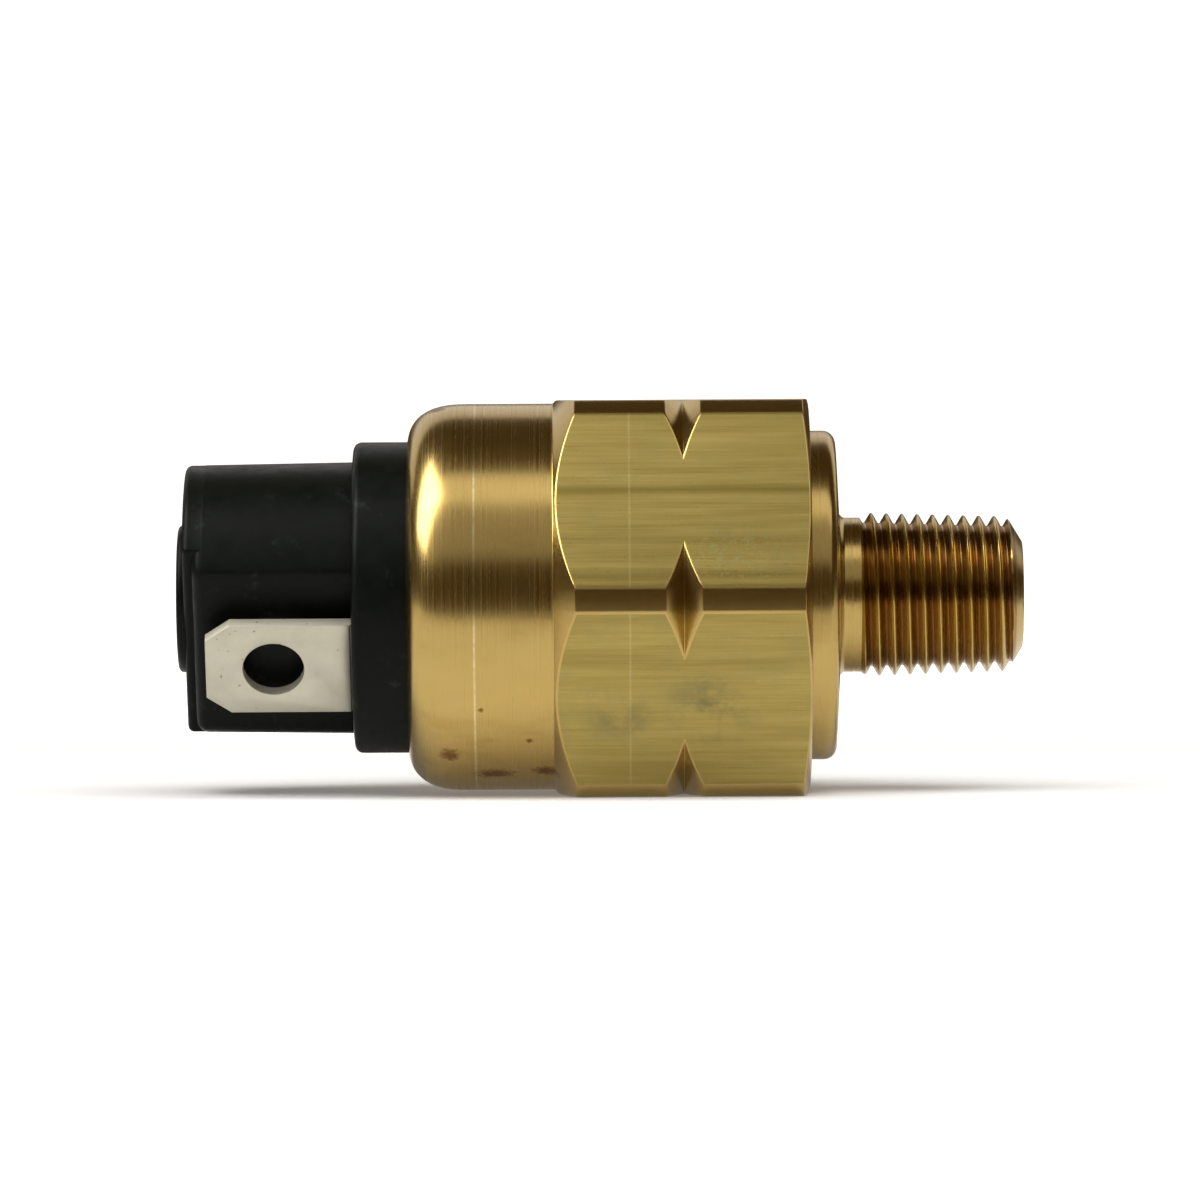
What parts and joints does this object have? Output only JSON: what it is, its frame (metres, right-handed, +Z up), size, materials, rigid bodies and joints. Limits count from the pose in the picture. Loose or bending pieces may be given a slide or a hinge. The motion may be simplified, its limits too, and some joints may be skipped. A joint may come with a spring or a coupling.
{
  "type": "pressure switch",
  "caption": "Brass pressure switch with a taper pipe thread, hexagon body, crimped rim, black terminal head with push-on blades and an adjusting screw.",
  "frame": {"origin": "on the switch's axis, at the plane where the taper pipe thread is hand tight in its port, 4.10 mm from the thread's tip", "axes": "+X along the axis towards the thread's tip, +Z up out of the hexagon's top flat, +Y away from the viewer"},
  "size_m": [0.0515, 0.0268, 0.024],
  "materials": {
    "brass": "bright turned bar stock",
    "bush_brass": "turned",
    "black_moulding": "moulded, slightly glossy",
    "tinned_brass": "tin plated, satin",
    "silver_contact": "polished silver",
    "steel": "turned, oiled",
    "spring_steel": "drawn wire",
    "white_acetal": "satin",
    "nitrile_rubber": "matt",
    "polyimide_film": "glossy film"
  },
  "bodies": {
    "casing": {"hex_body": "brass", "diaphragm_o_ring": "nitrile_rubber", "diaphragm": "polyimide_film", "guide_plate": "steel", "spacer_sleeve": "white_acetal", "head_gasket": "nitrile_rubber", "terminal_head": "black_moulding", "terminal_a": "tinned_brass", "terminal_b": "tinned_brass", "fixed_contact_a": "silver_contact", "fixed_contact_b": "silver_contact", "adjuster_bush": "bush_brass"},
    "piston_group": {"piston": "white_acetal", "contact_washer": "steel", "contact_spring": "spring_steel", "retaining_ring": "spring_steel"},
    "contact_group": {"contact_disc": "silver_contact"},
    "seat_group": {"spring_seat": "steel", "main_spring": "spring_steel"},
    "screw_group": {"adjuster_screw": "steel"}
  },
  "joints": [
    {"name": "piston_slide", "type": "slide", "parent": "casing", "child": "piston_group", "axis": [-1, 0, 0], "range_m": [0, 0.0006], "stiffness_N_per_m": 4000, "springref_m": -0.003, "deforming": ["diaphragm", "main_spring"]},
    {"name": "contact_slide", "type": "slide", "parent": "piston_group", "child": "contact_group", "axis": [1, 0, 0], "range_m": [0, 0.00018], "deforming": ["contact_spring"]},
    {"name": "seat_slide", "type": "slide", "parent": "casing", "child": "seat_group", "axis": [1, 0, 0], "range_m": [-0.0008, 0.0008]},
    {"name": "screw_turn", "type": "hinge", "parent": "seat_group", "child": "screw_group", "pos_m": [-0.0434, 0, 0], "axis": [1, 0, 0], "range_deg": [-360, 360]}
  ],
  "couplings": [
    {"joint": "contact_slide", "follows": "piston_slide", "ratio": 0.3},
    {"joint": "screw_turn", "follows": "seat_slide", "rad_per_m": 7854}
  ]
}
